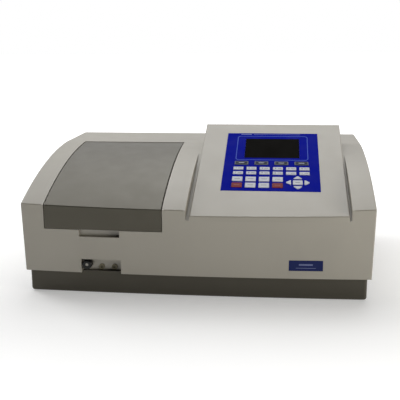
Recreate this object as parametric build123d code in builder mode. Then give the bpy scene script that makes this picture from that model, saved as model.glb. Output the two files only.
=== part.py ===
"""Bench-top single-beam spectrophotometer: moulded cover, hinged sample lid, sloping console and the optics inside.

X runs to the operator's right, Y to the back, Z up. The origin is on the bench under the middle of the body.
Most depths are given as a distance behind the front face, and turned into Y by behind().
"""

from build123d import *
import math
import os

os.makedirs("parts", exist_ok=True)

# Overall body
WIDTH = 470.0
DEPTH = 340.0  # from the front plane to the back; the bowed front stands BOW further out
BOW = 6.0  # how far the middle of the front stands before the front plane
BOW_ENDS = 2.0  # how far the front's ends lie behind it
BASE_BOW = 3.0
CREST_Z = 176.0  # flat rear top of the cover
CREASE_Z = 123.3  # front edge where the top skin meets the front face
CREST_DEPTH = 225.0  # where the curved skin levels out
SKIN_BULGE = 11.3  # rise of the skin above the straight line from crease to crest
COVER_BOTTOM_Z = 30.8
DRAFT_INSET = 2.5  # each side leans in by this much from the crease to the bottom edge
WALL = 3.0
FOOT_HEIGHT = 0.6

# Sample lid and its well
LID_X = (-202.6, -42.2)
LID_BOTTOM_Z = 90.8
LID_GAP = 0.8
WELL_FLOOR_Z = 90.3
HINGE_RADIUS = 4.5
HINGE_DEPTH = 220.5
PIN_RADIUS = 1.5
RUNNING_CLEARANCE = 0.05

# Finger recess under the lid, and the port recess at the bottom of the front
FINGER_X = (-155.0, -99.5)
FINGER_Z = 81.0
PORT_X = (-153.3, -98.5)
PORT_TOP_Z = 49.8
RECESS_FACE = -3.7  # depth of the bowed front face at these two recesses
FINGER_DEPTH = 3.8
PORT_DEPTH = 8.3
ROD_X, ROD_Z = -145.8, 41.6
ROD_RADIUS = 2.5
KNOB_RADIUS = 6.4
TUBE_PORTS = ((-127.5, 36.7), (-109.7, 36.7))
TUBE_PORT_RADIUS = 3.2

# Console
CONSOLE_X = (-5.7, 201.4)
CONSOLE_FRONT_Z = 115.5
CONSOLE_DEPTH = 233.0
CONSOLE_REAR_Z = 205.3
CONSOLE_SKIRT_FRONT_Z = 108.0
CONSOLE_SKIRT_REAR_Z = 168.0
CONSOLE_GAP = 0.5
TROUGH_X = (-10.7, 204.2)  # the shallow trough that the console sits in
TROUGH_DROP = 6.0  # its floor below the console's top plane

# Keypad, laid out in the console's sloping plane: u along X, v up the slope from the front edge
PANEL_U = (30.4, 166.4)
PANEL_V = (55.8, 218.4)
SCREEN_U = (58.8, 138.6)
SCREEN_V = (144.2, 201.2)
OVERLAY_RECESS = 0.3
OVERLAY_PROUD = 0.2
KEY_PITCH = 18.7
KEY_FIRST_U = 51.8
KEY_CLEARANCE = 0.25
KEY_PROUD = 0.9
KEY_TRAVEL = 0.8
KEY_FLANGE = 1.0
ARROW_CENTRE = (135.6, 77.9)

# Optics
BEAM_Z = 65.0
BEAM_DEPTH = 110.0
CELL_PITCH = 18.0
CELL_COUNT = 4
CELL_SIZE = 12.6
TURRET = (35.0, 170.0)  # x and depth of the grating's axis
ARM_LENGTH = 39.0
SCREW_X, SCREW_Z = -15.0, 38.0
WHEEL_DEPTH = 205.0
WHEEL_HOLES = 6
WHEEL_PITCH_RADIUS = 15.0

FRONT = (BOW - DEPTH) / 2


def behind(depth):
    """Y of a point at this depth behind the front face."""
    return FRONT + depth


def skin_circle():
    """Centre (depth, z) and radius of the circle that the top skin follows."""
    half = CREST_DEPTH / 2
    rise = (CREST_Z - CREASE_Z) / 2
    chord = math.hypot(half, rise)
    bulge = SKIN_BULGE * half / chord
    radius = (chord**2 + bulge**2) / (2 * bulge)
    middle = (half, CREASE_Z + rise)
    normal = (rise / chord, -half / chord)
    drop = radius - bulge
    return (middle[0] + normal[0] * drop, middle[1] + normal[1] * drop), radius


SKIN_CENTRE, SKIN_RADIUS = skin_circle()


def skin_z(depth, inset=0.0):
    """Height of the top skin at a depth, or of a surface that far inside it."""
    return SKIN_CENTRE[1] + math.sqrt((SKIN_RADIUS - inset) ** 2 - (depth - SKIN_CENTRE[0]) ** 2)


def skirt_z(depth):
    """Height of the console's sloping bottom edge at a depth."""
    return CONSOLE_SKIRT_FRONT_Z + (CONSOLE_SKIRT_REAR_Z - CONSOLE_SKIRT_FRONT_Z) * depth / CONSOLE_DEPTH


HINGE_Z = skin_z(HINGE_DEPTH) - HINGE_RADIUS
SLOPE = math.degrees(math.atan2(CONSOLE_REAR_Z - CONSOLE_FRONT_Z, CONSOLE_DEPTH))
PANEL = Plane(
    origin=(0, FRONT, CONSOLE_FRONT_Z),
    x_dir=(1, 0, 0),
    z_dir=(0, -math.sin(math.radians(SLOPE)), math.cos(math.radians(SLOPE))),
)


def console_z(depth, drop=0.0):
    """Height of the console's top plane at a depth, or of a surface that far below it."""
    return CONSOLE_FRONT_Z + (CONSOLE_REAR_Z - CONSOLE_FRONT_Z) * depth / CONSOLE_DEPTH - drop


def bowed_plan(inset, bow=BOW, ends=BOW_ENDS, half=WIDTH / 2 + 1):
    """A tall block with the plan of the bowed front, its front face moved in by inset."""
    with BuildPart() as plan:
        with BuildSketch():
            with BuildLine():
                Polyline(
                    (half, behind(ends + inset)),
                    (half, behind(DEPTH + 1)),
                    (-half, behind(DEPTH + 1)),
                    (-half, behind(ends + inset)),
                )
                ThreePointArc(
                    (-half, behind(ends + inset)),
                    (0, behind(inset - bow)),
                    (half, behind(ends + inset)),
                )
            make_face()
        extrude(amount=CONSOLE_REAR_Z + 50)
    return plan.part


def block(x, depth, z, mode=Mode.ADD):
    """The box between two corners, each axis given as (low, high), with Y as a depth."""
    with Locations((sum(x) / 2, behind(sum(depth) / 2), sum(z) / 2)):
        Box(x[1] - x[0], depth[1] - depth[0], z[1] - z[0], mode=mode)


def round_bar(start, axis, length, radius, mode=Mode.ADD):
    """A cylinder from start (x, depth, z) along an axis."""
    origin = (start[0], behind(start[1]), start[2])
    with Locations(Plane(origin, z_dir=axis).location):
        Cylinder(radius, length, align=(Align.CENTER, Align.CENTER, Align.MIN), mode=mode)


def wedge(x, points, mode=Mode.ADD):
    """A polygon of (depth, z) points extruded between two X positions."""
    with BuildSketch(Plane.YZ.offset(x[0])) as profile:
        with BuildLine():
            Polyline(*[(behind(depth), z) for depth, z in points], close=True)
        make_face()
    extrude(profile.sketch, amount=x[1] - x[0], mode=mode)


def save(builder, name):
    """Writes a finished piece as its own STEP file."""
    builder.part.label = name
    export_step(builder.part, f"parts/{name}.step")


X_AXIS, Y_AXIS, Z_AXIS = (1, 0, 0), (0, 1, 0), (0, 0, 1)


# ---------------------------------------------------------------- top cover

def cover_block(inset, bottom):
    """Solid body of the cover with its walls moved in by inset."""
    half = WIDTH / 2 - inset
    near, far = -2 * BOW, DEPTH - inset
    middle = CREST_DEPTH / 2
    with BuildPart() as body:
        with BuildSketch(Plane.YZ):
            with BuildLine():
                Polyline(
                    (behind(CREST_DEPTH), CREST_Z - inset),
                    (behind(far), CREST_Z - inset),
                    (behind(far), bottom),
                    (behind(near), bottom),
                    (behind(near), skin_z(near, inset)),
                )
                ThreePointArc(
                    (behind(near), skin_z(near, inset)),
                    (behind(middle), skin_z(middle, inset)),
                    (behind(CREST_DEPTH), CREST_Z - inset),
                )
            make_face()
        extrude(amount=half, both=True)
        drop = CREASE_Z - bottom
        lean = DRAFT_INSET * drop / (CREASE_Z - COVER_BOTTOM_Z)
        for side in (-1, 1):
            with BuildSketch(Plane.XZ.offset(FRONT - DEPTH)):
                with BuildLine():
                    Polyline(
                        (side * half, CREASE_Z),
                        (side * (half + 1), CREASE_Z),
                        (side * (half + 1), bottom - 1),
                        (side * (half - lean), bottom - 1),
                        (side * (half - lean), bottom),
                        close=True,
                    )
                make_face()
            extrude(amount=3 * DEPTH, mode=Mode.SUBTRACT, both=True)
        add(bowed_plan(inset), mode=Mode.INTERSECT)
    return body


def plate_solid(thickness, margin):
    """The name plate's solid, bent to the front face, or its pocket with a margin all round."""
    with BuildPart() as plate:
        block((124.7 - margin, 168.9 + margin), (AHEAD, 10), (41.7 - margin, 55.7 + margin))
        add(bowed_plan(0), mode=Mode.INTERSECT)
        add(bowed_plan(thickness), mode=Mode.SUBTRACT)
    return plate.part


OUTER = cover_block(0, COVER_BOTTOM_Z)
INNER = cover_block(WALL, COVER_BOTTOM_Z - 1)

WELL_X = (LID_X[0] - LID_GAP, LID_X[1] + LID_GAP)
WELL_REAR = HINGE_DEPTH + HINGE_RADIUS + 0.5
CONSOLE_OPENING_X = (CONSOLE_X[0] - CONSOLE_GAP, CONSOLE_X[1] + CONSOLE_GAP)
CONSOLE_OPENING_REAR = CONSOLE_DEPTH + 0.6

AHEAD = -2 * BOW  # a depth safely in front of everything

# Walls inside the cover: the lid's well and sill, the recesses' pockets, and the console's trough
with BuildPart() as cheeks:
    block((WELL_X[0] - WALL, WELL_X[1] + WALL), (AHEAD, WELL_REAR + WALL), (88, CREST_Z))
    block(WELL_X, (AHEAD, WELL_REAR), (80, CREST_Z + 1), Mode.SUBTRACT)
    block(WELL_X, (AHEAD, 15.2), (87.8, WELL_FLOOR_Z))
    block((FINGER_X[0] - 2.5, FINGER_X[1] + 2.5), (AHEAD, FINGER_DEPTH + 2.5), (FINGER_Z - 2.5, WELL_FLOOR_Z))
    block((PORT_X[0] - 2.5, PORT_X[1] + 2.5), (AHEAD, PORT_DEPTH + 2), (COVER_BOTTOM_Z, PORT_TOP_Z + 2.5))
    for low, high in (
        (TROUGH_X[0] - WALL, CONSOLE_OPENING_X[0]),
        (CONSOLE_OPENING_X[1], TROUGH_X[1] + WALL),
    ):
        wedge((low, high), [(AHEAD, 100), (AHEAD, 200), (235, 200), (235, 161)])
    add(OUTER.part, mode=Mode.INTERSECT)
    for low, high in (
        (CONSOLE_OPENING_X[0] - 1, CONSOLE_OPENING_X[0] + 4.5),
        (CONSOLE_OPENING_X[1] - 4.5, CONSOLE_OPENING_X[1] + 1),
    ):
        wedge((low, high), [(1, skirt_z(1) - 4), (1, skirt_z(1)), (235, skirt_z(235)), (235, skirt_z(235) - 4)])

with BuildPart() as top_cover:
    add(OUTER.part)
    sharp = top_cover.edges().filter_by(lambda e: e.center().Z > COVER_BOTTOM_Z + 1)
    sharp = sharp.filter_by(lambda e: abs(e.center().Z - CREASE_Z) > 1 or e.bounding_box().size.X > 1)
    fillet(sharp, radius=1.8)
    add(INNER.part, mode=Mode.SUBTRACT)
    add(cheeks.part)
    # openings
    block(WELL_X, (AHEAD, WELL_REAR), (WELL_FLOOR_Z, CREST_Z + 10), Mode.SUBTRACT)
    block(FINGER_X, (AHEAD, FINGER_DEPTH), (FINGER_Z, WELL_FLOOR_Z + 1), Mode.SUBTRACT)
    block(PORT_X, (AHEAD, PORT_DEPTH), (COVER_BOTTOM_Z - 1, PORT_TOP_Z), Mode.SUBTRACT)
    wedge(
        TROUGH_X,
        [
            (AHEAD, console_z(AHEAD, TROUGH_DROP)),
            (AHEAD, 230),
            (CONSOLE_OPENING_REAR, 230),
            (CONSOLE_OPENING_REAR, console_z(CONSOLE_OPENING_REAR, TROUGH_DROP)),
        ],
        Mode.SUBTRACT,
    )
    wedge(
        CONSOLE_OPENING_X,
        [
            (AHEAD, skirt_z(AHEAD)),
            (AHEAD, 230),
            (CONSOLE_OPENING_REAR, 230),
            (CONSOLE_OPENING_REAR, skirt_z(CONSOLE_OPENING_REAR)),
        ],
        Mode.SUBTRACT,
    )
    # changer rod hole, tube ports, lid hinge bores
    round_bar((ROD_X, PORT_DEPTH - 1, ROD_Z), Y_AXIS, 5, 4.0, Mode.SUBTRACT)
    for x, z in TUBE_PORTS:
        round_bar((x, PORT_DEPTH - 1, z), Y_AXIS, 5, TUBE_PORT_RADIUS, Mode.SUBTRACT)
    for x in (WELL_X[0] - WALL - 1, WELL_X[1] - 1):
        round_bar((x, HINGE_DEPTH, HINGE_Z), X_AXIS, WALL + 2, PIN_RADIUS + RUNNING_CLEARANCE, Mode.SUBTRACT)
    # window for the rear panel, and warm-air louvres above it
    block((-55, 195), (DEPTH - 4, DEPTH + 1), (COVER_BOTTOM_Z - 1, 120), Mode.SUBTRACT)
    for column in range(12):
        x = 35 + 12 * column
        block((x, x + 5), (DEPTH - 4, DEPTH + 1), (132, 160), Mode.SUBTRACT)
    # pocket for the name plate, which follows the bowed face
    add(plate_solid(0.9, 0.2), mode=Mode.SUBTRACT)
    # side screws: clearance hole and spot face
    for side in (-1, 1):
        for depth in (60, 280):
            round_bar((side * 226, depth, 40), (side, 0, 0), 12, 1.7, Mode.SUBTRACT)
            round_bar((side * 231.4, depth, 40), (side, 0, 0), 6, 4.0, Mode.SUBTRACT)
save(top_cover, "top_cover")

with BuildPart() as cover_screws:
    for side in (-1, 1):
        for depth in (60, 280):
            round_bar((side * 221, depth, 40), (side, 0, 0), 10.4, 1.5)
            round_bar((side * 231.4, depth, 40), (side, 0, 0), 2.0, 3.4)
            block((side * 233 - 0.6, side * 233 + 0.6), (depth - 2.4, depth + 2.4), (39.6, 40.4), Mode.SUBTRACT)
save(cover_screws, "cover_screws")

with BuildPart() as name_plate:
    add(plate_solid(0.8, 0.0))
save(name_plate, "name_plate")


# ---------------------------------------------------------------- base tray and feet

BASE_HALF = 227.5
BASE_NEAR = 3.3
BASE_FLOOR_Z = 6.0
BASE_WALL_Z = 32.4
FEET = [(side * 195, depth) for side in (-1, 1) for depth in (40, 300)]
CHAMBER_X = (-201.0, -44.0)
CHAMBER_DEPTH = (15.5, 218.0)
CHAMBER_Z = (29.0, 88.0)
BENCH_X = (-42.0, 165.0)
BENCH_DEPTH = (50.0, 235.0)
BENCH_Z = (14.0, 20.0)
PANEL_DEPTH = (DEPTH - BASE_NEAR - WALL, DEPTH - BASE_NEAR)
FAN = (85.0, 75.0)
INLET_X = 165.0

with BuildPart() as base_tray:
    block((-BASE_HALF, BASE_HALF), (AHEAD, DEPTH - BASE_NEAR), (FOOT_HEIGHT, BASE_WALL_Z))
    add(bowed_plan(BASE_NEAR, BASE_BOW), mode=Mode.INTERSECT)
    fillet(base_tray.edges().filter_by(Axis.Z), radius=4)
    fillet(base_tray.faces().sort_by(Axis.Z)[0].edges(), radius=4)
    block(
        (WALL - BASE_HALF, BASE_HALF - WALL),
        (BASE_NEAR + BOW_ENDS + WALL, PANEL_DEPTH[0] - 0.3),
        (BASE_FLOOR_Z, BASE_WALL_Z + 1),
        Mode.SUBTRACT,
    )
    # slots in the front wall for the port pocket's two sides, and in the rear wall for the rear panel
    for x in (PORT_X[0] - 1.4, PORT_X[1] + 1.4):
        block((x - 1.8, x + 1.8), (AHEAD, 12), (COVER_BOTTOM_Z - 1, BASE_WALL_Z + 1), Mode.SUBTRACT)
    block((-60.2, 200.2), (DEPTH - 12, DEPTH), (BASE_FLOOR_Z, BASE_WALL_Z + 1), Mode.SUBTRACT)
    # bosses under the chamber, the optical bench and the boards
    for x in (CHAMBER_X[0] + 10, CHAMBER_X[1] - 10):
        for depth in (CHAMBER_DEPTH[0] + 12, CHAMBER_DEPTH[1] - 12):
            round_bar((x, depth, BASE_FLOOR_Z), Z_AXIS, CHAMBER_Z[0] - BASE_FLOOR_Z, 5)
    for x in (BENCH_X[0] + 10, BENCH_X[1] - 10):
        for depth in (BENCH_DEPTH[0] + 10, BENCH_DEPTH[1] - 10):
            round_bar((x, depth, BASE_FLOOR_Z), Z_AXIS, BENCH_Z[0] - BASE_FLOOR_Z, 5)
    for x, depth in ((-205, 250), (-60, 250), (-205, 318), (-60, 318), (178, 50), (212, 50), (178, 230), (212, 230)):
        round_bar((x, depth, BASE_FLOOR_Z), Z_AXIS, 8, 3.5)
    # lugs that take the cover's side screws
    for side in (-1, 1):
        low, high = sorted((side * 219, side * (BASE_HALF - 1)))
        for depth in (60, 280):
            block((low, high), (depth - 6, depth + 6), (BASE_FLOOR_Z, 46))
            round_bar((side * 218, depth, 40), (side, 0, 0), 12, 1.5, Mode.SUBTRACT)
    # foot sockets and air slots in the floor
    for x, depth in FEET:
        round_bar((x, depth, 0), Z_AXIS, 10, 4.0, Mode.SUBTRACT)
    for row in range(8):
        depth = 255 + 8 * row
        block((20, 60), (depth, depth + 3.5), (0, 10), Mode.SUBTRACT)
save(base_tray, "base_tray")

with BuildPart() as rear_panel:
    block((-60, 200), PANEL_DEPTH, (BASE_FLOOR_Z, 125))
    # fan grille
    for ring in range(4):
        inner = 6 + 6 * ring
        with BuildSketch(Plane.XZ.offset(-behind(PANEL_DEPTH[0] - 1))):
            with Locations(FAN):
                Circle(inner + 3.6)
                Circle(inner, mode=Mode.SUBTRACT)
                Rectangle(3, 80, mode=Mode.SUBTRACT)
                Rectangle(80, 3, mode=Mode.SUBTRACT)
        extrude(amount=-WALL - 2, mode=Mode.SUBTRACT)
    # cut-outs for the mains inlet and the interface connector
    block((INLET_X - 13.7, INLET_X + 13.7), (DEPTH - 10, DEPTH), (46.3, 101.7), Mode.SUBTRACT)
    block((-20, 12), (DEPTH - 10, DEPTH), (60, 72), Mode.SUBTRACT)
save(rear_panel, "rear_panel")

with BuildPart() as rubber_feet:
    for x, depth in FEET:
        round_bar((x, depth, 0), Z_AXIS, FOOT_HEIGHT, 10)
        round_bar((x, depth, 0), Z_AXIS, BASE_FLOOR_Z + 1, 4.0)
save(rubber_feet, "rubber_feet")


# ---------------------------------------------------------------- sample lid

with BuildPart() as lid_outer:
    with BuildSketch(Plane.YZ.offset(LID_X[0])):
        with BuildLine():
            Polyline(
                (behind(HINGE_DEPTH), HINGE_Z - HINGE_RADIUS),
                (behind(HINGE_DEPTH), LID_BOTTOM_Z),
                (behind(AHEAD), LID_BOTTOM_Z),
                (behind(AHEAD), skin_z(AHEAD)),
            )
            ThreePointArc(
                (behind(AHEAD), skin_z(AHEAD)),
                (behind(HINGE_DEPTH / 2), skin_z(HINGE_DEPTH / 2)),
                (behind(HINGE_DEPTH), skin_z(HINGE_DEPTH)),
            )
            ThreePointArc(
                (behind(HINGE_DEPTH), skin_z(HINGE_DEPTH)),
                (behind(HINGE_DEPTH + HINGE_RADIUS), HINGE_Z),
                (behind(HINGE_DEPTH), HINGE_Z - HINGE_RADIUS),
            )
        make_face()
    extrude(amount=LID_X[1] - LID_X[0])
    add(bowed_plan(0), mode=Mode.INTERSECT)
    creases = lid_outer.edges().filter_by(lambda e: e.center().Z > skin_z(-BOW) - 1)
    fillet(creases.filter_by(lambda e: behind(2) > e.center().Y or e.bounding_box().size.Y > 50), radius=1.4)

LID_INNER_X = (LID_X[0] + WALL, LID_X[1] - WALL)
inner_rear = HINGE_DEPTH - HINGE_RADIUS - 1
with BuildPart() as lid_hollow:
    with BuildSketch(Plane.YZ.offset(LID_INNER_X[0])):
        with BuildLine():
            Polyline(
                (behind(inner_rear), skin_z(inner_rear, WALL)),
                (behind(inner_rear), LID_BOTTOM_Z - 1),
                (behind(AHEAD), LID_BOTTOM_Z - 1),
                (behind(AHEAD), skin_z(AHEAD, WALL)),
            )
            ThreePointArc(
                (behind(AHEAD), skin_z(AHEAD, WALL)),
                (behind(inner_rear / 2), skin_z(inner_rear / 2, WALL)),
                (behind(inner_rear), skin_z(inner_rear, WALL)),
            )
        make_face()
    extrude(amount=LID_INNER_X[1] - LID_INNER_X[0])
    add(bowed_plan(WALL), mode=Mode.INTERSECT)

with BuildPart() as sample_lid:
    add(lid_outer.part)
    add(lid_hollow.part, mode=Mode.SUBTRACT)
    # light baffle that hangs down just inside the front skirt
    wedge(
        (LID_INNER_X[0] - 1, LID_INNER_X[1] + 1),
        [(17, LID_BOTTOM_Z), (17, skin_z(17, 1.5)), (19.5, skin_z(19.5, 1.5)), (19.5, LID_BOTTOM_Z)],
    )
    for x, direction in ((LID_X[0] - 1, 1), (LID_X[1] + 1, -1)):
        round_bar((x, HINGE_DEPTH, HINGE_Z), (direction, 0, 0), 15, PIN_RADIUS, Mode.SUBTRACT)
save(sample_lid, "sample_lid")

with BuildPart() as hinge_pins:
    for x, direction in ((WELL_X[0] - WALL, 1), (WELL_X[1] + WALL, -1)):
        round_bar((x, HINGE_DEPTH, HINGE_Z), (direction, 0, 0), 17.5, PIN_RADIUS)
save(hinge_pins, "hinge_pins")


# ---------------------------------------------------------------- sample chamber and cell changer

CHAMBER_WALL = 4.0
CAVITY_X = (CHAMBER_X[0] + CHAMBER_WALL, CHAMBER_X[1] - CHAMBER_WALL)
CAVITY_DEPTH = (CHAMBER_DEPTH[0] + CHAMBER_WALL, CHAMBER_DEPTH[1] - CHAMBER_WALL)
RAIL_X = (-127.0, -117.0)
RAIL_TOP_Z = 37.0

with BuildPart() as sample_chamber:
    block(CHAMBER_X, CHAMBER_DEPTH, CHAMBER_Z)
    block(CAVITY_X, CAVITY_DEPTH, (CHAMBER_Z[0] + WALL, CHAMBER_Z[1] + 1), Mode.SUBTRACT)
    block(RAIL_X, (25, 205), (CHAMBER_Z[0] + 1, RAIL_TOP_Z))
    # the changer rod runs through the front wall, the light beam through both side walls
    round_bar((ROD_X, CHAMBER_DEPTH[0] - 1, ROD_Z), Y_AXIS, 6, ROD_RADIUS + RUNNING_CLEARANCE, Mode.SUBTRACT)
    round_bar((CHAMBER_X[0] - 1, BEAM_DEPTH, BEAM_Z), X_AXIS, 6, 6.0, Mode.SUBTRACT)
    round_bar((CHAMBER_X[1] - 5, BEAM_DEPTH, BEAM_Z), X_AXIS, 6, 6.0, Mode.SUBTRACT)
save(sample_chamber, "sample_chamber")

with BuildPart() as lid_seal:
    block(CHAMBER_X, CHAMBER_DEPTH, (CHAMBER_Z[1], LID_BOTTOM_Z - 0.3))
    block(CAVITY_X, CAVITY_DEPTH, (CHAMBER_Z[1] - 1, LID_BOTTOM_Z), Mode.SUBTRACT)
save(lid_seal, "lid_seal")

CARRIAGE_X = (-137.0, -107.0)
CARRIAGE_DEPTH = (98.0, BEAM_DEPTH + (CELL_COUNT - 1) * CELL_PITCH + 12.0)
CARRIAGE_BOTTOM_Z = CHAMBER_Z[0] + WALL + 0.3
CARRIAGE_TOP_Z = 82.0
CELL_FLOOR_Z = 46.0
CELL_X = sum(CARRIAGE_X) / 2

with BuildPart() as cell_carriage:
    block(CARRIAGE_X, CARRIAGE_DEPTH, (CARRIAGE_BOTTOM_Z, CARRIAGE_TOP_Z))
    fillet(cell_carriage.edges().filter_by(Axis.Z), radius=2)
    block((-150, CARRIAGE_X[0] + 1), (98, 112), (CARRIAGE_BOTTOM_Z, 46))
    block((RAIL_X[0] - 0.3, RAIL_X[1] + 0.3), (90, 190), (CARRIAGE_BOTTOM_Z - 1, RAIL_TOP_Z + 0.3), Mode.SUBTRACT)
    for cell in range(CELL_COUNT):
        depth = BEAM_DEPTH + cell * CELL_PITCH
        half = CELL_SIZE / 2
        block(
            (CELL_X - half, CELL_X + half),
            (depth - half, depth + half),
            (CELL_FLOOR_Z, CARRIAGE_TOP_Z + 1),
            Mode.SUBTRACT,
        )
        block((CARRIAGE_X[0] - 1, CARRIAGE_X[1] + 1), (depth - 4, depth + 4), (54, 76), Mode.SUBTRACT)
    round_bar((ROD_X, 97, ROD_Z), Y_AXIS, 12, ROD_RADIUS, Mode.SUBTRACT)
save(cell_carriage, "cell_carriage")

with BuildPart() as changer_rod:
    round_bar((ROD_X, RECESS_FACE + 1.6, ROD_Z), Y_AXIS, 109 - RECESS_FACE - 1.6, ROD_RADIUS)
    fillet(changer_rod.edges().group_by(Axis.Y)[0], radius=0.5)
save(changer_rod, "changer_rod")

with BuildPart() as changer_knob:
    round_bar((ROD_X, RECESS_FACE + 0.4, ROD_Z), Y_AXIS, 10.4, KNOB_RADIUS)
    fillet(changer_knob.edges().group_by(Axis.Y)[0], radius=1.6)
    fillet(changer_knob.edges().group_by(Axis.Y)[-1], radius=0.8)
    round_bar((ROD_X, RECESS_FACE, ROD_Z), Y_AXIS, 12, ROD_RADIUS, Mode.SUBTRACT)
    ring = Plane((ROD_X, behind(RECESS_FACE + 6), ROD_Z), z_dir=Y_AXIS)
    with Locations(ring.location):
        with PolarLocations(KNOB_RADIUS + 0.4, 16):
            Cylinder(0.9, 6, mode=Mode.SUBTRACT)
save(changer_knob, "changer_knob")

with BuildPart() as port_plugs:
    for x, z in TUBE_PORTS:
        round_bar((x, PORT_DEPTH - 1.4, z), Y_AXIS, 1.4, 3.9)
        round_bar((x, PORT_DEPTH, z), Y_AXIS, 2.6, TUBE_PORT_RADIUS)
        round_bar((x, PORT_DEPTH - 2, z), Y_AXIS, 2.6, 2.0, Mode.SUBTRACT)
save(port_plugs, "port_plugs")


# ---------------------------------------------------------------- console, display and keypad

def box_key(width, height):
    """Key outline: a rectangle with small corner radii."""
    return lambda grow: RectangleRounded(width + 2 * grow, height + 2 * grow, 0.8 + grow)


def arrow_key(turn):
    """Key outline: a blunt arrowhead that points outwards, turned about the pad's centre."""

    def draw(grow):
        reach, half = 3.3 + grow, 5.6 + grow
        low = 1.2 - reach
        corners = ((-half, -reach), (half, -reach), (half, low), (1, reach), (-1, reach), (-half, low))
        Polygon(*corners, rotation=turn)

    return draw


def key_layout():
    """Every key as name: (u, v, outline)."""
    keys = {}
    for column in range(4):
        keys[f"key_function_{column + 1}"] = (55.5 + 28.6 * column, 128.9, box_key(19.6, 9.4))
    for row, v in enumerate((114.1, 101.8)):
        for column in range(6):
            u = KEY_FIRST_U + KEY_PITCH * column
            keys[f"key_upper_{row * 6 + column + 1}"] = (u, v, box_key(14, 7.4))
    for row, v in enumerate((85.6, 69.8)):
        for column in range(4):
            u = KEY_FIRST_U + KEY_PITCH * column
            keys[f"key_lower_{row * 4 + column + 1}"] = (u, v, box_key(14.4, 11.6))
    u, v = ARROW_CENTRE
    keys["key_enter"] = (u, v, box_key(13.2, 10.8))
    for name, turn, x, y in (("up", 0, 0, 12.6), ("left", 90, -12.6, 0), ("down", 180, 0, -12.6), ("right", 270, 12.6, 0)):
        keys[f"key_{name}"] = (u + x, v + y, arrow_key(turn))
    return keys


KEYS = key_layout()


def key_openings():
    """Adds the outlines of all key holes to the sketch in hand."""
    for u, v, outline in KEYS.values():
        with Locations((u, v)):
            outline(KEY_CLEARANCE)


def panel_rectangle(u, v):
    with Locations((sum(u) / 2, sum(v) / 2)):
        Rectangle(u[1] - u[0], v[1] - v[0])


PLATE = WALL  # thickness of the console's top, measured square to it
NORMAL_DROP = PLATE / math.cos(math.radians(SLOPE))

with BuildPart() as console_hollow:
    wedge(
        (CONSOLE_X[0] + WALL, CONSOLE_X[1] - WALL),
        [
            (AHEAD, skirt_z(AHEAD) - 10),
            (AHEAD, console_z(AHEAD, NORMAL_DROP)),
            (CONSOLE_DEPTH - WALL, console_z(CONSOLE_DEPTH - WALL, NORMAL_DROP)),
            (CONSOLE_DEPTH - WALL, skirt_z(CONSOLE_DEPTH) - 10),
        ],
    )
    add(bowed_plan(WALL), mode=Mode.INTERSECT)

with BuildPart() as console_housing:
    wedge(
        CONSOLE_X,
        [
            (AHEAD, skirt_z(AHEAD)),
            (AHEAD, console_z(AHEAD)),
            (CONSOLE_DEPTH, CONSOLE_REAR_Z),
            (CONSOLE_DEPTH, CONSOLE_SKIRT_REAR_Z),
        ],
    )
    add(bowed_plan(0), mode=Mode.INTERSECT)
    rim = console_housing.edges().filter_by(lambda e: e.length > 150)
    rim = rim.filter_by(lambda e: abs(e.center().Z - console_z(e.center().Y - FRONT)) < 2)
    fillet(rim, radius=1.6)
    add(console_hollow.part, mode=Mode.SUBTRACT)
    # posts that carry the keypad board
    with BuildSketch(PANEL.offset(-PLATE)):
        with Locations((36, 64), (161, 64), (36, 212), (161, 212)):
            Circle(3)
    extrude(amount=-3.6)
    with BuildSketch(PANEL.offset(-OVERLAY_RECESS)):
        panel_rectangle((PANEL_U[0] - 0.2, PANEL_U[1] + 0.2), (PANEL_V[0] - 0.2, PANEL_V[1] + 0.2))
    extrude(amount=2, mode=Mode.SUBTRACT)
    with BuildSketch(PANEL.offset(1)):
        panel_rectangle((SCREEN_U[0] - 0.1, SCREEN_U[1] + 0.1), (SCREEN_V[0] - 0.1, SCREEN_V[1] + 0.1))
        key_openings()
    extrude(amount=-PLATE - 2, mode=Mode.SUBTRACT)
save(console_housing, "console_housing")

with BuildPart() as keypad_overlay:
    with BuildSketch(PANEL.offset(-OVERLAY_RECESS)):
        panel_rectangle(PANEL_U, PANEL_V)
    extrude(amount=OVERLAY_RECESS + OVERLAY_PROUD)
    with BuildSketch(PANEL.offset(1)):
        panel_rectangle((SCREEN_U[0] - 0.1, SCREEN_U[1] + 0.1), (SCREEN_V[0] - 0.1, SCREEN_V[1] + 0.1))
        key_openings()
    extrude(amount=-3, mode=Mode.SUBTRACT)
save(keypad_overlay, "keypad_overlay")

with BuildPart() as display_window:
    with BuildSketch(PANEL.offset(-PLATE - 0.2)):
        panel_rectangle(SCREEN_U, SCREEN_V)
    extrude(amount=PLATE + 0.3)
save(display_window, "display_window")

with BuildPart() as display_module:
    with BuildSketch(PANEL.offset(-PLATE - 3.6)):
        panel_rectangle((32, 165), (61, 216))
    extrude(amount=-1.6)
    with BuildSketch(PANEL.offset(-PLATE - 3.6)):
        panel_rectangle((56, 142), (143, 205))
    extrude(amount=3.4)
save(display_module, "display_module")

for name, (u, v, outline) in KEYS.items():
    with BuildPart() as key:
        with BuildSketch(PANEL.offset(-PLATE - 0.4)):
            with Locations((u, v)):
                outline(0)
        extrude(amount=PLATE + 0.4 + KEY_PROUD)
        fillet(key.edges().group_by(Axis(PANEL.origin, PANEL.z_dir))[-1], radius=0.3)
        with BuildSketch(PANEL.offset(-PLATE - 1.6)):
            with Locations((u, v)):
                outline(KEY_FLANGE)
        extrude(amount=1.2)
        with BuildSketch(PANEL.offset(-PLATE - 2.6)):
            with Locations((u, v)):
                Circle(1.5)
        extrude(amount=1.2)
    save(key, name)


# ---------------------------------------------------------------- optical bench and monochromator

MONO_X = (-37.0, 90.0)
MONO_DEPTH = (60.0, 230.0)
MONO_Z = (BENCH_Z[1], 100.0)
MONO_FLOOR_Z = MONO_Z[0] + WALL

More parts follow.
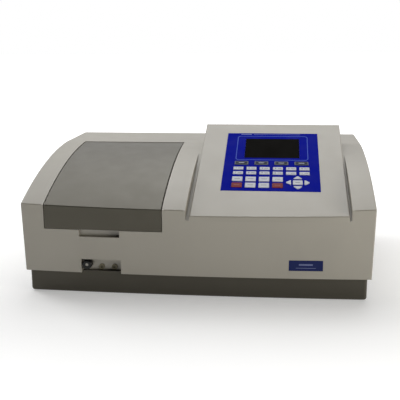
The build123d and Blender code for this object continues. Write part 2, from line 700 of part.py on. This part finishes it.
with BuildPart() as monochromator_body:
    # the casting's base plate carries the lamps and the filter wheel too
    block(BENCH_X, BENCH_DEPTH, BENCH_Z)
    fillet(monochromator_body.edges().filter_by(Axis.Z), radius=5)
    block(MONO_X, MONO_DEPTH, MONO_Z)
    block(
        (MONO_X[0] + WALL, MONO_X[1] - WALL),
        (MONO_DEPTH[0] + WALL, MONO_DEPTH[1] - WALL),
        (MONO_FLOOR_Z, MONO_Z[1] + 0.01),
        Mode.SUBTRACT,
    )
    # exit port on the left wall, entrance port on the right wall
    round_bar((MONO_X[0] - 1, BEAM_DEPTH, BEAM_Z), X_AXIS, 5, 4, Mode.SUBTRACT)
    round_bar((MONO_X[1] - 4, WHEEL_DEPTH - WHEEL_PITCH_RADIUS, BEAM_Z), X_AXIS, 5, 4, Mode.SUBTRACT)
    # bearing boss of the grating turret, and the lead screw's front bearing
    round_bar((TURRET[0], TURRET[1], MONO_FLOOR_Z - 1), Z_AXIS, 11, 9)
    round_bar((TURRET[0], TURRET[1], MONO_FLOOR_Z), Z_AXIS, 20, 3 + RUNNING_CLEARANCE, Mode.SUBTRACT)
    block((SCREW_X - 7, SCREW_X + 7), (132, 140), (MONO_FLOOR_Z - 1, 48))
    round_bar((SCREW_X, 131, SCREW_Z), Y_AXIS, 10, 2 + RUNNING_CLEARANCE, Mode.SUBTRACT)
    # collimating and camera mirror blocks
    for x, depth in ((70, 82), (20, 78)):
        block((x - 11, x + 11), (depth - 5, depth + 5), (MONO_FLOOR_Z - 1, 82))
    # cover plate
    block(MONO_X, MONO_DEPTH, (MONO_Z[1], MONO_Z[1] + 2))
save(monochromator_body, "monochromator_body")

with BuildPart() as grating_turret:
    round_bar((TURRET[0], TURRET[1], MONO_FLOOR_Z + 0.3), Z_AXIS, 12, 3)
    round_bar((TURRET[0], TURRET[1], 34), Z_AXIS, 16, 8)
    block((TURRET[0] - 11, TURRET[0] + 11), (TURRET[1] - 3, TURRET[1] + 3), (49, 80))
    block((TURRET[0] - ARM_LENGTH, TURRET[0]), (TURRET[1] - 3, TURRET[1] + 2), (35, 41))
    round_bar((TURRET[0] - ARM_LENGTH, TURRET[1], 35), Z_AXIS, 6, 3)
save(grating_turret, "grating_turret")

with BuildPart() as lead_screw:
    round_bar((SCREW_X, 134, SCREW_Z), Y_AXIS, 76, 2)
    round_bar((SCREW_X, 140.3, SCREW_Z), Y_AXIS, 56, 3)
save(lead_screw, "lead_screw")

with BuildPart() as drive_nut:
    block((SCREW_X - 7, SCREW_X + 13.5), (173.5, 183.5), (31, 45))
    round_bar((SCREW_X, 170, SCREW_Z), Y_AXIS, 20, 3 + RUNNING_CLEARANCE, Mode.SUBTRACT)
save(drive_nut, "drive_nut")

with BuildPart() as stepper_motors:
    block((SCREW_X - 14, SCREW_X + 14), (197, 225), (24, 52))
    round_bar((SCREW_X, 196, SCREW_Z), Y_AXIS, 16, 2 + RUNNING_CLEARANCE, Mode.SUBTRACT)
    round_bar((98, WHEEL_DEPTH, BEAM_Z), X_AXIS, 18, 9)
    block((100, 114), (WHEEL_DEPTH - 5, WHEEL_DEPTH + 5), (BENCH_Z[1], BEAM_Z))
    round_bar((97, WHEEL_DEPTH, BEAM_Z), X_AXIS, 12, 1.5 + RUNNING_CLEARANCE, Mode.SUBTRACT)
save(stepper_motors, "stepper_motors")

with BuildPart() as filter_wheel:
    round_bar((94, WHEEL_DEPTH, BEAM_Z), X_AXIS, 2, 21)
    disc = Plane((95, behind(WHEEL_DEPTH), BEAM_Z), z_dir=X_AXIS)
    with Locations(disc.location):
        with PolarLocations(WHEEL_PITCH_RADIUS, WHEEL_HOLES, start_angle=90):
            Cylinder(4.5, 6, mode=Mode.SUBTRACT)
    round_bar((93, WHEEL_DEPTH, BEAM_Z), X_AXIS, 4, 4)
    round_bar((93, WHEEL_DEPTH, BEAM_Z), X_AXIS, 14, 1.5)
save(filter_wheel, "filter_wheel")

with BuildPart() as lamps:
    # deuterium lamp in front, halogen lamp behind it, each on its ceramic base
    for depth, radius, height in ((165, 13, 44), (203, 6, 30)):
        round_bar((140, depth, BENCH_Z[1]), Z_AXIS, 20, radius * 0.8)
        round_bar((140, depth, BENCH_Z[1] + 20), Z_AXIS, height, radius)
        with Locations((140, behind(depth), BENCH_Z[1] + 20 + height)):
            Sphere(radius)
save(lamps, "lamps")

with BuildPart() as detector_unit:
    block((-224, CHAMBER_X[0]), (92, 128), (48, 82))
    fillet(detector_unit.edges().filter_by(Axis.X), radius=2)
    round_bar((CHAMBER_X[0] - 12, BEAM_DEPTH, BEAM_Z), X_AXIS, 13, 5, Mode.SUBTRACT)
save(detector_unit, "detector_unit")


# ---------------------------------------------------------------- electronics and rear panel fittings

with BuildPart() as circuit_boards:
    block((-212, -53), (243, 325), (14, 15.6))
    block((173, 217), (43, 237), (14, 15.6))
    for x, depth, size, height in ((-190, 262, 26, 4), (-150, 300, 20, 3), (-110, 262, 30, 4), (-80, 302, 18, 8)):
        block((x - size / 2, x + size / 2), (depth - size / 2, depth + size / 2), (15, 15.6 + height))
    block((176, 214), (60, 105), (15, 54))
    block((180, 210), (125, 129), (15, 48))
    for depth in (150, 172, 194):
        round_bar((195, depth, 15), Z_AXIS, 28, 9)
    # interface board upright behind the rear panel, with its connector through the cut-out
    block((-26, 18), (PANEL_DEPTH[0] - 6, PANEL_DEPTH[0] - 4.4), (50, 82))
    block((-19.6, 11.6), (PANEL_DEPTH[0] - 5, PANEL_DEPTH[1] + 1), (60.4, 71.6))
    block((-17, 9), (PANEL_DEPTH[0] + 1, PANEL_DEPTH[1] + 2), (62.4, 69.6), Mode.SUBTRACT)
save(circuit_boards, "circuit_boards")

FAN_DEPTH = (PANEL_DEPTH[0] - 15, PANEL_DEPTH[0])
FAN_AXLE = 1.5

with BuildPart() as fan_frame:
    block((FAN[0] - 30, FAN[0] + 30), FAN_DEPTH, (FAN[1] - 30, FAN[1] + 30))
    fillet(fan_frame.edges().filter_by(Axis.Y), radius=3)
    round_bar((FAN[0], FAN_DEPTH[0] - 1, FAN[1]), Y_AXIS, 17, 28, Mode.SUBTRACT)
    for low, high in (((-29, -4), (29, 4)), ((-4, -29), (4, 29))):
        block((FAN[0] + low[0], FAN[0] + high[0]), (FAN_DEPTH[0], FAN_DEPTH[0] + 2), (FAN[1] + low[1], FAN[1] + high[1]))
    round_bar((FAN[0], FAN_DEPTH[0], FAN[1]), Y_AXIS, 2, 12)
    round_bar((FAN[0], FAN_DEPTH[0], FAN[1]), Y_AXIS, 12, FAN_AXLE)
save(fan_frame, "fan_frame")

with BuildPart() as fan_rotor:
    hub_start = FAN_DEPTH[0] + 2.6
    round_bar((FAN[0], hub_start, FAN[1]), Y_AXIS, 11, 11)
    hub = Plane((FAN[0], behind(hub_start + 5.5), FAN[1]), z_dir=Y_AXIS)
    with Locations(hub.location):
        with PolarLocations(18, 7):
            with Locations(Location((0, 0, 0), (40, 0, 0))):
                Box(17, 1.4, 10)
    round_bar((FAN[0], hub_start - 2, FAN[1]), Y_AXIS, 12, FAN_AXLE + RUNNING_CLEARANCE, Mode.SUBTRACT)
save(fan_rotor, "fan_rotor")

INLET_REAR = PANEL_DEPTH[1]
ROCKER_DEPTH, ROCKER_Z = INLET_REAR - 3.0, 86.0

with BuildPart() as power_inlet:
    block((INLET_X - 15, INLET_X + 15), (INLET_REAR, INLET_REAR + 2), (44, 104))
    fillet(power_inlet.edges().filter_by(Axis.Y), radius=2)
    block((INLET_X - 13.5, INLET_X + 13.5), (INLET_REAR - 26, INLET_REAR), (46.5, 101.5))
    block((INLET_X - 12, INLET_X + 12), (INLET_REAR - 15, INLET_REAR + 3), (50, 67), Mode.SUBTRACT)
    for x, z in ((-7, 57), (7, 57), (0, 61)):
        block((INLET_X + x - 1, INLET_X + x + 1), (INLET_REAR - 16, INLET_REAR - 4), (z - 2, z + 2))
    block((INLET_X - 6.6, INLET_X + 6.6), (INLET_REAR - 14, INLET_REAR + 3), (ROCKER_Z - 11.5, ROCKER_Z + 11.5), Mode.SUBTRACT)
    round_bar((INLET_X - 9, ROCKER_DEPTH, ROCKER_Z), X_AXIS, 18, 1 + RUNNING_CLEARANCE, Mode.SUBTRACT)
save(power_inlet, "power_inlet")

with BuildPart() as power_rocker:
    # drawn with its upper half pressed in, the off position
    tilt = math.radians(8)
    corners = [(2.2, -10), (0.6, 0), (2.2, 10), (-3.5, 9.2), (-6.5, 0), (-3.5, -9.2)]
    wedge(
        (INLET_X - 6.2, INLET_X + 6.2),
        [
            (
                ROCKER_DEPTH + y * math.cos(tilt) - z * math.sin(tilt),
                ROCKER_Z + z * math.cos(tilt) + y * math.sin(tilt),
            )
            for y, z in corners
        ],
    )
    round_bar((INLET_X - 8.5, ROCKER_DEPTH, ROCKER_Z), X_AXIS, 17, 1)
save(power_rocker, "power_rocker")
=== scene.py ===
"""Look of the bench-top spectrophotometer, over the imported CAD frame.

Metres, +Z up, operator on the -Y side.
"""

import math

import bmesh
import bpy
from mathutils import Matrix, Vector


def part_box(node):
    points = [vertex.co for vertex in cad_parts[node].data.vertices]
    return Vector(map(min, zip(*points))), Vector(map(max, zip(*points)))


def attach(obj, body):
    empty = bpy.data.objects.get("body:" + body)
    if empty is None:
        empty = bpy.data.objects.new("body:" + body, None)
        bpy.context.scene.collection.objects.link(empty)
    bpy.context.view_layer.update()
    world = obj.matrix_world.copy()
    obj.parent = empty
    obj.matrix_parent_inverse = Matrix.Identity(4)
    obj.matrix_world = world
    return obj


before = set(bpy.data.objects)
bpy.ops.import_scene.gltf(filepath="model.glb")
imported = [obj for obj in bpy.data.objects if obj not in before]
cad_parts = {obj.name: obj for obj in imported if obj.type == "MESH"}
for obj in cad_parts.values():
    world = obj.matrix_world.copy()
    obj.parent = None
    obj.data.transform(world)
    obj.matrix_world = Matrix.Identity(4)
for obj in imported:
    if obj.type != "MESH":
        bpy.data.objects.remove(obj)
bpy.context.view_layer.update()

scene = bpy.context.scene


# ---------------------------------------------------------------- materials

BOARD_TOP_Z = 0.01565  # circuit boards' upper face: components stand above it
LAMP_BASE_HEIGHT = 0.0205  # ceramic part of each lamp


def linear(red, green, blue):
    """An sRGB colour, 0 to 255, as the linear RGBA that shaders use."""
    parts = [c / 255 for c in (red, green, blue)]
    return [c / 12.92 if c <= 0.04045 else ((c + 0.055) / 1.055) ** 2.4 for c in parts] + [1.0]


class Shader:
    """A node material under construction, with Principled at its end."""

    def __init__(self, name):
        self.material = bpy.data.materials.new(name)
        self.material.use_nodes = True
        self.tree = self.material.node_tree
        self.surface = self.tree.nodes["Principled BSDF"]
        self.place = self.tree.nodes.new("ShaderNodeTexCoord").outputs["Object"]

    def node(self, kind, inputs=None, **settings):
        made = self.tree.nodes.new(kind)
        for key, value in settings.items():
            setattr(made, key, value)
        for key, value in (inputs or {}).items():
            if isinstance(value, bpy.types.NodeSocket):
                self.tree.links.new(value, made.inputs[key])
            else:
                made.inputs[key].default_value = value
        return made

    def noise(self, scale, detail=3.0, stretch=None):
        place = self.place
        if stretch:
            place = self.node("ShaderNodeMapping", {"Vector": place, "Scale": stretch}).outputs["Vector"]
        inputs = {"Vector": place, "Scale": scale, "Detail": detail}
        return self.node("ShaderNodeTexNoise", inputs).outputs["Fac"]

    def spread(self, value, low, high, start=0.35, end=0.65):
        inputs = {"Value": value, "From Min": start, "From Max": end, "To Min": low, "To Max": high}
        return self.node("ShaderNodeMapRange", inputs).outputs["Result"]

    def mix(self, factor, first, second):
        made = self.node("ShaderNodeMix", data_type="RGBA")
        for socket, value in ((made.inputs[0], factor), (made.inputs[6], first), (made.inputs[7], second)):
            if isinstance(value, bpy.types.NodeSocket):
                self.tree.links.new(value, socket)
            else:
                socket.default_value = value
        return made.outputs[2]

    def math(self, operation, first, second=0.0):
        return self.node("ShaderNodeMath", {0: first, 1: second}, operation=operation).outputs[0]

    def bump(self, height, strength, distance):
        inputs = {"Height": height, "Strength": strength, "Distance": distance}
        made = self.node("ShaderNodeBump", inputs)
        self.tree.links.new(made.outputs["Normal"], self.surface.inputs["Normal"])

    def set(self, **values):
        for key, value in values.items():
            socket = self.surface.inputs[key.replace("_", " ")]
            if isinstance(value, bpy.types.NodeSocket):
                self.tree.links.new(value, socket)
            else:
                socket.default_value = value
        return self.material


def moulded(name, colour, roughness=0.45, shift=0.04, specular=0.9, tint=(1.0, 1.0, 1.0, 1.0)):
    """Moulded plastic: a fine spark-eroded grain, slight mottling, edges polished by handling."""
    made = Shader(name)
    tone = made.spread(made.noise(14.0, 4.0), 0.0, 1.0, 0.3, 0.7)
    darker = [c * (1 - shift) for c in colour[:3]] + [1.0]
    body = made.mix(tone, darker, colour)
    edge = made.node("ShaderNodeNewGeometry").outputs["Pointiness"]
    worn = made.spread(edge, 0.0, 0.35, 0.52, 0.6)
    lighter = [min(1.0, c * 1.12) for c in colour[:3]] + [1.0]
    made.bump(made.noise(2600.0, 2.0), 0.25, 0.00002)
    rough = made.spread(made.noise(40.0, 3.0), roughness - 0.02, roughness + 0.03)
    tone = made.mix(worn, body, lighter)
    return made.set(Base_Color=tone, Roughness=rough, Specular_IOR_Level=specular, Specular_Tint=tint)


def metal(name, colour, roughness=0.35, stretch=(1.0, 1.0, 40.0), scale=60.0):
    """Machined or drawn metal with fine marks along one direction."""
    made = Shader(name)
    marks = made.noise(scale, 5.0, stretch)
    dark = [c * 0.85 for c in colour[:3]] + [1.0]
    tone = made.mix(made.spread(marks, 0.0, 1.0), dark, colour)
    made.bump(marks, 0.2, 0.00003)
    rough = made.spread(marks, roughness - 0.06, roughness + 0.1)
    return made.set(Base_Color=tone, Roughness=rough, Metallic=1.0)


def coated(name, colour, roughness=0.6, scale=900.0):
    """Matt coating or black anodising on metal, with a light orange-peel texture."""
    made = Shader(name)
    peel = made.noise(scale, 2.0)
    made.bump(peel, 0.3, 0.00004)
    lighter = [c * 1.25 + 0.004 for c in colour[:3]] + [1.0]
    tone = made.mix(made.spread(made.noise(30.0), 0.0, 1.0), colour, lighter)
    return made.set(Base_Color=tone, Roughness=made.spread(peel, roughness - 0.08, roughness + 0.08))


def printed(name, colour, roughness=0.55, ior=1.05):
    """Matt printed film, with faint cloudiness and little reflection."""
    made = Shader(name)
    cloud = made.noise(55.0, 4.0)
    lighter = [c * 1.03 for c in colour[:3]] + [1.0]
    tone = made.mix(made.spread(cloud, 0.0, 1.0), colour, lighter)
    made.bump(made.noise(1500.0, 2.0), 0.08, 0.00001)
    rough = made.spread(cloud, roughness * 0.8, roughness * 1.3)
    return made.set(Base_Color=tone, Roughness=rough, IOR=ior)


def circuit(name):
    """Green solder mask with traces, and dark component bodies above the board."""
    made = Shader(name)
    cells = made.node("ShaderNodeTexBrick", {"Vector": made.place, "Scale": 120.0, "Mortar Size": 0.03})
    cells.inputs["Color1"].default_value = linear(24, 92, 50)
    cells.inputs["Color2"].default_value = linear(20, 78, 44)
    cells.inputs["Mortar"].default_value = linear(58, 128, 74)
    height = made.node("ShaderNodeSeparateXYZ", {0: made.place}).outputs["Z"]
    above = made.math("GREATER_THAN", height, BOARD_TOP_Z)
    body = made.mix(made.spread(made.noise(70.0), 0.0, 1.0), linear(24, 24, 26), linear(44, 44, 50))
    made.bump(cells.outputs["Fac"], 0.2, 0.00005)
    return made.set(Base_Color=made.mix(above, cells.outputs["Color"], body), Roughness=0.42)


def lamp(name):
    """Clear quartz envelope over a white ceramic base, split by height."""
    made = Shader(name)
    height = made.node("ShaderNodeSeparateXYZ", {0: made.place}).outputs["Z"]
    glass = made.math("GREATER_THAN", height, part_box("lamps")[0][2] + LAMP_BASE_HEIGHT)
    ceramic = made.mix(made.spread(made.noise(120.0), 0.0, 1.0), linear(222, 218, 206), linear(238, 235, 226))
    made.bump(made.noise(700.0), 0.15, 0.00003)
    clear = made.math("MULTIPLY", glass, 0.85)
    rough = made.spread(glass, 0.55, 0.04, 0.0, 1.0)
    tone = made.mix(glass, ceramic, linear(225, 230, 240))
    return made.set(Base_Color=tone, Roughness=rough, Transmission_Weight=clear)


SHELL = moulded("shell_plastic", linear(153, 148, 136), 0.42)
LID = moulded("lid_plastic", linear(46, 43, 34), 0.44, tint=(1.0, 0.95, 0.8, 1.0))
BASE = moulded("base_plastic", linear(52, 49, 41), 0.42, specular=0.6, tint=(1.0, 0.95, 0.82, 1.0))
BLACK = moulded("black_plastic", linear(30, 29, 28), 0.42)
RUBBER = coated("rubber", linear(26, 25, 24), 0.85, 1400.0)
CHAMBER = coated("chamber_black", linear(24, 23, 22), 0.72)
ANODISED = coated("anodised_black", linear(34, 34, 36), 0.45, 1800.0)
CASTING = metal("cast_aluminium", linear(178, 178, 180), 0.5, (1.0, 1.0, 1.0), 500.0)
PAINTED = coated("dark_paint", linear(58, 57, 54), 0.5, 700.0)
STEEL = metal("steel", linear(172, 172, 174), 0.3)
BRASS = metal("brass", linear(190, 152, 84), 0.3)
KNOB = moulded("knob_plastic", linear(16, 15, 15), 0.3, shift=0.1, specular=0.3)
ROD = metal("rod_end", linear(150, 147, 140), 0.38, (40.0, 1.0, 40.0))
PLUG = moulded("plug_plastic", linear(118, 112, 90), 0.5, specular=0.4)
OVERLAY = printed("overlay_film", linear(13, 24, 148))
OVERLAY_LINE = printed("overlay_line", linear(84, 108, 196))
WINDOW = printed("display_window", linear(15, 14, 12), 0.35, 1.03)
BADGE = printed("badge_film", linear(28, 37, 84), 0.4, 1.2)
HEADING_INK = printed("heading_ink", linear(150, 162, 214))
BADGE_INK = printed("badge_ink", linear(104, 112, 150), 0.4, 1.2)
KEY_WHITE = moulded("key_white", linear(196, 200, 208), 0.5, shift=0.02, specular=0.3)
KEY_GREY = moulded("key_grey", linear(74, 81, 92), 0.5, specular=0.3)
KEY_DARK = moulded("key_dark_field", linear(38, 44, 58), 0.6, specular=0.1)
KEY_RED = moulded("key_red", linear(122, 20, 26), 0.5, specular=0.15)
LEGEND = moulded("legend_ink", linear(58, 62, 84), 0.5)
LEGEND_PALE = moulded("legend_pale_ink", linear(150, 92, 96), 0.6, specular=0.1)
LEGEND_LIGHT = moulded("legend_light_ink", linear(188, 194, 208), 0.5)
CIRCUIT = circuit("circuit_board")
LAMP = lamp("lamp_quartz")

FINISH = {
    "top_cover": SHELL, "cover_screws": STEEL, "name_plate": BADGE, "base_tray": BASE, "rubber_feet": RUBBER,
    "sample_lid": LID, "hinge_pins": STEEL, "sample_chamber": CHAMBER, "lid_seal": RUBBER,
    "cell_carriage": ANODISED, "changer_rod": ROD, "changer_knob": KNOB, "port_plugs": PLUG,
    "console_housing": SHELL, "keypad_overlay": OVERLAY, "display_window": WINDOW, "display_module": CIRCUIT,
    "rear_panel": PAINTED, "monochromator_body": ANODISED, "grating_turret": CASTING, "lead_screw": STEEL,
    "drive_nut": BRASS, "stepper_motors": BLACK, "filter_wheel": ANODISED, "lamps": LAMP,
    "detector_unit": ANODISED, "circuit_boards": CIRCUIT, "fan_frame": BLACK, "fan_rotor": BLACK,
    "power_inlet": BLACK, "power_rocker": BLACK, "key_lower_5": KEY_RED, "key_lower_8": KEY_RED,
}

for name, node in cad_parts.items():
    finish = FINISH.get(name, KEY_GREY if name.startswith("key_function") else KEY_WHITE)
    if not node.material_slots:
        node.data.materials.append(finish)
    for slot in node.material_slots:
        slot.material = finish


# ---------------------------------------------------------------- the keypad's sloping plane

CONSOLE_FRONT_Z = 0.1155
CONSOLE_REAR_Z = 0.2053
CONSOLE_DEPTH = 0.233
PRINT = 0.0001  # thickness of a printed mark
MARK = 0.00006  # how far a key's mark stands above the key

# the cover's front is an arc: BOW_AHEAD before the console's datum in the middle, BOW further back at the ends
COVER_FRONT_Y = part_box("top_cover")[0][1]
BOW_AHEAD = 0.006
BOW = 0.008
BOW_HALF = 0.236

FRONT_Y = COVER_FRONT_Y + BOW_AHEAD
SLOPE = math.atan2(CONSOLE_REAR_Z - CONSOLE_FRONT_Z, CONSOLE_DEPTH)
UP_SLOPE = Vector((0, math.cos(SLOPE), math.sin(SLOPE)))
NORMAL = Vector((0, -math.sin(SLOPE), math.cos(SLOPE)))
PANEL = Matrix((
    (1, 0, 0, 0),
    (0, UP_SLOPE.y, NORMAL.y, FRONT_Y),
    (0, UP_SLOPE.z, NORMAL.z, CONSOLE_FRONT_Z),
    (0, 0, 0, 1),
))
TO_PANEL = PANEL.inverted()


def on_panel(node):
    """Lowest and highest (u, v, height) of a CAD node in the panel's own axes."""
    points = [TO_PANEL @ vertex.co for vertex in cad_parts[node].data.vertices]
    return [min(p[i] for p in points) for i in range(3)], [max(p[i] for p in points) for i in range(3)]


def strip_ring(name, centre, size, corner, width, height, thickness, material):
    """A rounded rectangular line, printed on the panel."""
    mesh = bmesh.new()
    outlines = []
    for grow in (0.0, -width):
        radius = corner + grow
        ring = []
        for quadrant, (sx, sy) in enumerate(((1, 1), (-1, 1), (-1, -1), (1, -1))):
            cx = centre[0] + sx * (size[0] / 2 - corner)
            cy = centre[1] + sy * (size[1] / 2 - corner)
            for step in range(9):
                angle = (quadrant + step / 8) * math.pi / 2
                ring.append((cx + radius * math.cos(angle), cy + radius * math.sin(angle)))
        outlines.append(ring)
    count = len(outlines[0])
    levels = []
    for z in (height, height + thickness):
        levels.append([[mesh.verts.new(PANEL @ Vector((x, y, z))) for x, y in ring] for ring in outlines])
    (outer_low, inner_low), (outer_high, inner_high) = levels
    for i in range(count):
        j = (i + 1) % count
        mesh.faces.new((outer_high[i], outer_high[j], inner_high[j], inner_high[i]))
        mesh.faces.new((outer_low[j], outer_low[i], inner_low[i], inner_low[j]))
        mesh.faces.new((outer_low[i], outer_low[j], outer_high[j], outer_high[i]))
        mesh.faces.new((inner_low[j], inner_low[i], inner_high[i], inner_high[j]))
    return finished(name, mesh, material)


def finished(name, mesh, material):
    """Turns a bmesh into a linked object with one material."""
    bmesh.ops.recalc_face_normals(mesh, faces=mesh.faces)
    data = bpy.data.meshes.new(name)
    mesh.to_mesh(data)
    mesh.free()
    made = bpy.data.objects.new(name, data)
    data.materials.append(material)
    scene.collection.objects.link(made)
    return made


low, high = on_panel("display_window")
screen_centre = ((low[0] + high[0]) / 2, (low[1] + high[1]) / 2)
overlay_top = on_panel("keypad_overlay")[1][2]
line = strip_ring(
    "display_frame_line",
    (screen_centre[0], screen_centre[1] + 0.001),
    (high[0] - low[0] + 0.0255, high[1] - low[1] + 0.0145),
    0.005,
    0.0011,
    overlay_top - PRINT / 2,
    PRINT,
    OVERLAY_LINE,
)
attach(line, "instrument")


def slab(name, corners, depth, material):
    """A thin printed block: four corners of its outer face, and how far it goes in behind them."""
    mesh = bmesh.new()
    outer = [mesh.verts.new(corner) for corner in corners]
    inner = [mesh.verts.new(corner + depth) for corner in corners]
    mesh.faces.new(outer)
    mesh.faces.new(inner[::-1])
    for i in range(4):
        mesh.faces.new((outer[i - 1], inner[i - 1], inner[i], outer[i]))
    return finished(name, mesh, material)


# plain bars where the overlay's heading and the name plate's text would be
low, high = on_panel("keypad_overlay")
HEADING_DROP = 0.0042  # from the overlay's top edge to the heading's lower edge
for name, start, length, width in (
    ("heading_bar", 0.020, 0.0165, 0.0016),
    ("heading_line", 0.040, 0.070, 0.0005),
):
    u, v = low[0] + start, high[1] - HEADING_DROP
    ends = ((u, v), (u + length, v), (u + length, v + width), (u, v + width))
    corners = [PANEL @ Vector((x, y, overlay_top + PRINT)) for x, y in ends]
    heading = slab(name, corners, -2 * PRINT * NORMAL, HEADING_INK)
    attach(heading, "instrument")



def front_face(x, z):
    """A point just proud of the bowed front face."""
    return Vector((x, COVER_FRONT_Y + BOW * (x / BOW_HALF) ** 2 - PRINT / 2, z))


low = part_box("name_plate")[0]
for name, inset, rise, length, width in (
    ("plate_bar", 0.013, 0.0072, 0.018, 0.0022),
    ("plate_line", 0.009, 0.0034, 0.026, 0.0007),
):
    x, z = low[0] + inset, low[2] + rise
    corners = [front_face(x, z), front_face(x + length, z)]
    corners += [front_face(x + length, z + width), front_face(x, z + width)]
    mark = slab(name, corners, Vector((0, PRINT, 0)), BADGE_INK)
    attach(mark, "instrument")


def on_key(node, across, up_slope):
    """A point on the key's top, measured from its middle along the panel."""
    low, high = on_panel(node)
    return Vector(((low[0] + high[0]) / 2 + across, (low[1] + high[1]) / 2 + up_slope, high[2]))


def digit(text, node, across, size, material):
    """A printed figure on a key's top, riding on that key."""
    curve = bpy.data.curves.new(f"figure_{node}", "FONT")
    curve.body = text
    curve.size = size
    curve.align_x = "CENTER"
    curve.align_y = "CENTER"
    curve.extrude = 0.00004
    curve.materials.append(material)
    made = bpy.data.objects.new(f"figure_{node}", curve)
    scene.collection.objects.link(made)
    made.matrix_world = PANEL @ Matrix.Translation(on_key(node, across, 0))
    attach(made, f"{node}_cap")


def bar(name, node, across, size, material, rise=MARK):
    """A printed block on a key's top, standing in for its legend."""
    mesh = bmesh.new()
    bmesh.ops.create_cube(mesh, size=1.0)
    place = PANEL @ Matrix.Translation(on_key(node, across, 0)) @ Matrix.Diagonal((*size, 2 * rise, 1))
    bmesh.ops.transform(mesh, matrix=place, verts=mesh.verts)
    made = finished(f"{name}_{node}", mesh, material)
    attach(made, f"{node}_cap")


for index, text in enumerate("1234567890.-"):
    digit(text, f"key_upper_{index + 1}", -0.0033, 0.0048, LEGEND)
    bar("mark", f"key_upper_{index + 1}", 0.0024, (0.0052, 0.0009), LEGEND)
for index in range(1, 9):
    red = index in (5, 8)
    ink, slot = (LEGEND_PALE, "key_white") if red else (LEGEND, "key_grey")
    bar("mark", f"key_lower_{index}", 0, (0.0078, 0.0009), ink)
bar("mark", "key_enter", 0, (0.0066, 0.0011), LEGEND)
for index in range(1, 5):
    bar("field", f"key_function_{index}", 0, (0.0165, 0.0066), KEY_DARK)
    bar("mark", f"key_function_{index}", 0, (0.0080, 0.0011), LEGEND_LIGHT, 2 * MARK)


# ---------------------------------------------------------------- floor, light and camera

def area(name, place, target, size, power, colour=(1, 1, 1)):
    """A rectangular soft light aimed at a point."""
    data = bpy.data.lights.new(name, "AREA")
    data.shape = "RECTANGLE"
    data.size, data.size_y = size
    data.energy = power
    data.color = colour
    made = bpy.data.objects.new(name, data)
    made.location = place
    made.rotation_euler = (Vector(target) - Vector(place)).to_track_quat("-Z", "Y").to_euler()
    scene.collection.objects.link(made)
    return made


def studio():
    """White surroundings, brighter behind the object, as a product photograph on white has."""
    world = bpy.data.worlds.new("studio")
    scene.world = world
    world.use_nodes = True
    tree = world.node_tree
    tree.nodes.clear()
    place = tree.nodes.new("ShaderNodeTexCoord")
    split = tree.nodes.new("ShaderNodeSeparateXYZ")
    tree.links.new(place.outputs["Generated"], split.inputs[0])
    fade = tree.nodes.new("ShaderNodeMapRange")
    tree.links.new(split.outputs["Y"], fade.inputs["Value"])
    for key, value in (("From Min", 0.2), ("From Max", 0.8), ("To Min", 0.02), ("To Max", 0.8)):
        fade.inputs[key].default_value = value
    seen = tree.nodes.new("ShaderNodeLightPath")
    brightest = tree.nodes.new("ShaderNodeMath")
    brightest.operation = "MAXIMUM"
    tree.links.new(fade.outputs["Result"], brightest.inputs[0])
    tree.links.new(seen.outputs["Is Camera Ray"], brightest.inputs[1])
    light = tree.nodes.new("ShaderNodeBackground")
    light.inputs["Color"].default_value = (1, 1, 1, 1)
    tree.links.new(brightest.outputs[0], light.inputs["Strength"])
    output = tree.nodes.new("ShaderNodeOutputWorld")
    tree.links.new(light.outputs[0], output.inputs["Surface"])


def pale_floor():
    """A wide white floor that keeps a soft shadow and fades into the background."""
    mesh = bmesh.new()
    bmesh.ops.create_grid(mesh, x_segments=2, y_segments=2, size=12)
    made = Shader("pale_floor")
    tone = made.mix(made.noise(3.0), linear(222, 222, 222), linear(226, 226, 226))
    floor_glow = 0.33  # emission near the object, rising away from it until the floor is white
    depth = made.node("ShaderNodeSeparateXYZ", {0: made.place}).outputs["Y"]
    behind = made.spread(depth, floor_glow, 1.0, 0.25, 1.2)
    ahead = made.spread(depth, 0.54, floor_glow, -0.5, -0.3)
    distance = made.node("ShaderNodeVectorMath", {0: made.place}, operation="LENGTH").outputs["Value"]
    around = made.spread(distance, floor_glow, 1.0, 0.8, 2.0)
    fade = made.math("MAXIMUM", made.math("MAXIMUM", behind, ahead), around)
    made.set(Base_Color=tone, Roughness=0.9, Emission_Color=(1, 1, 1, 1), Emission_Strength=fade)
    floor = finished("floor", mesh, made.material)
    floor.location = (0, 0, -0.0002)


studio()
pale_floor()
area("overhead", (-0.25, 0.5, 1.7), (0, 0.0, 0.1), (2.0, 1.4), 15.5)
area("behind", (0.1, 1.1, 1.4), (0, 0, 0.15), (2.0, 1.0), 6)
area("left", (-1.5, 0.65, 1.0), (0.1, -0.05, 0.12), (0.8, 0.8), 12)
area("front_right", (1.15, -0.7, 0.35), (0, 0, 0.08), (0.6, 0.5), 7.8, (1.0, 0.97, 0.9))

# the viewpoint, fitted to the body's outline
PITCH, YAW, ROLL = 0.2234, 0.1126, -0.007
FOCAL_WIDTHS = 1.821  # focal length over image width
SENSOR_WIDTH = 36.0
CAMERA_PLACE = (0.11215, -1.08568, 0.34361)
forward = Vector((-math.sin(YAW) * math.cos(PITCH), math.cos(YAW) * math.cos(PITCH), -math.sin(PITCH)))
right = forward.cross(Vector((0, 0, 1))).normalized()
up = right.cross(forward)
rolled_right = right * math.cos(ROLL) + up * math.sin(ROLL)
rolled_up = up * math.cos(ROLL) - right * math.sin(ROLL)
camera_data = bpy.data.cameras.new("camera")
camera_data.sensor_width = SENSOR_WIDTH
camera_data.lens = FOCAL_WIDTHS * SENSOR_WIDTH
camera = bpy.data.objects.new("camera", camera_data)
pose = Matrix((rolled_right, rolled_up, -forward)).transposed().to_4x4()
pose.translation = Vector(CAMERA_PLACE)
camera.matrix_world = pose
scene.collection.objects.link(camera)
scene.camera = camera
scene.view_settings.view_transform = "Standard"
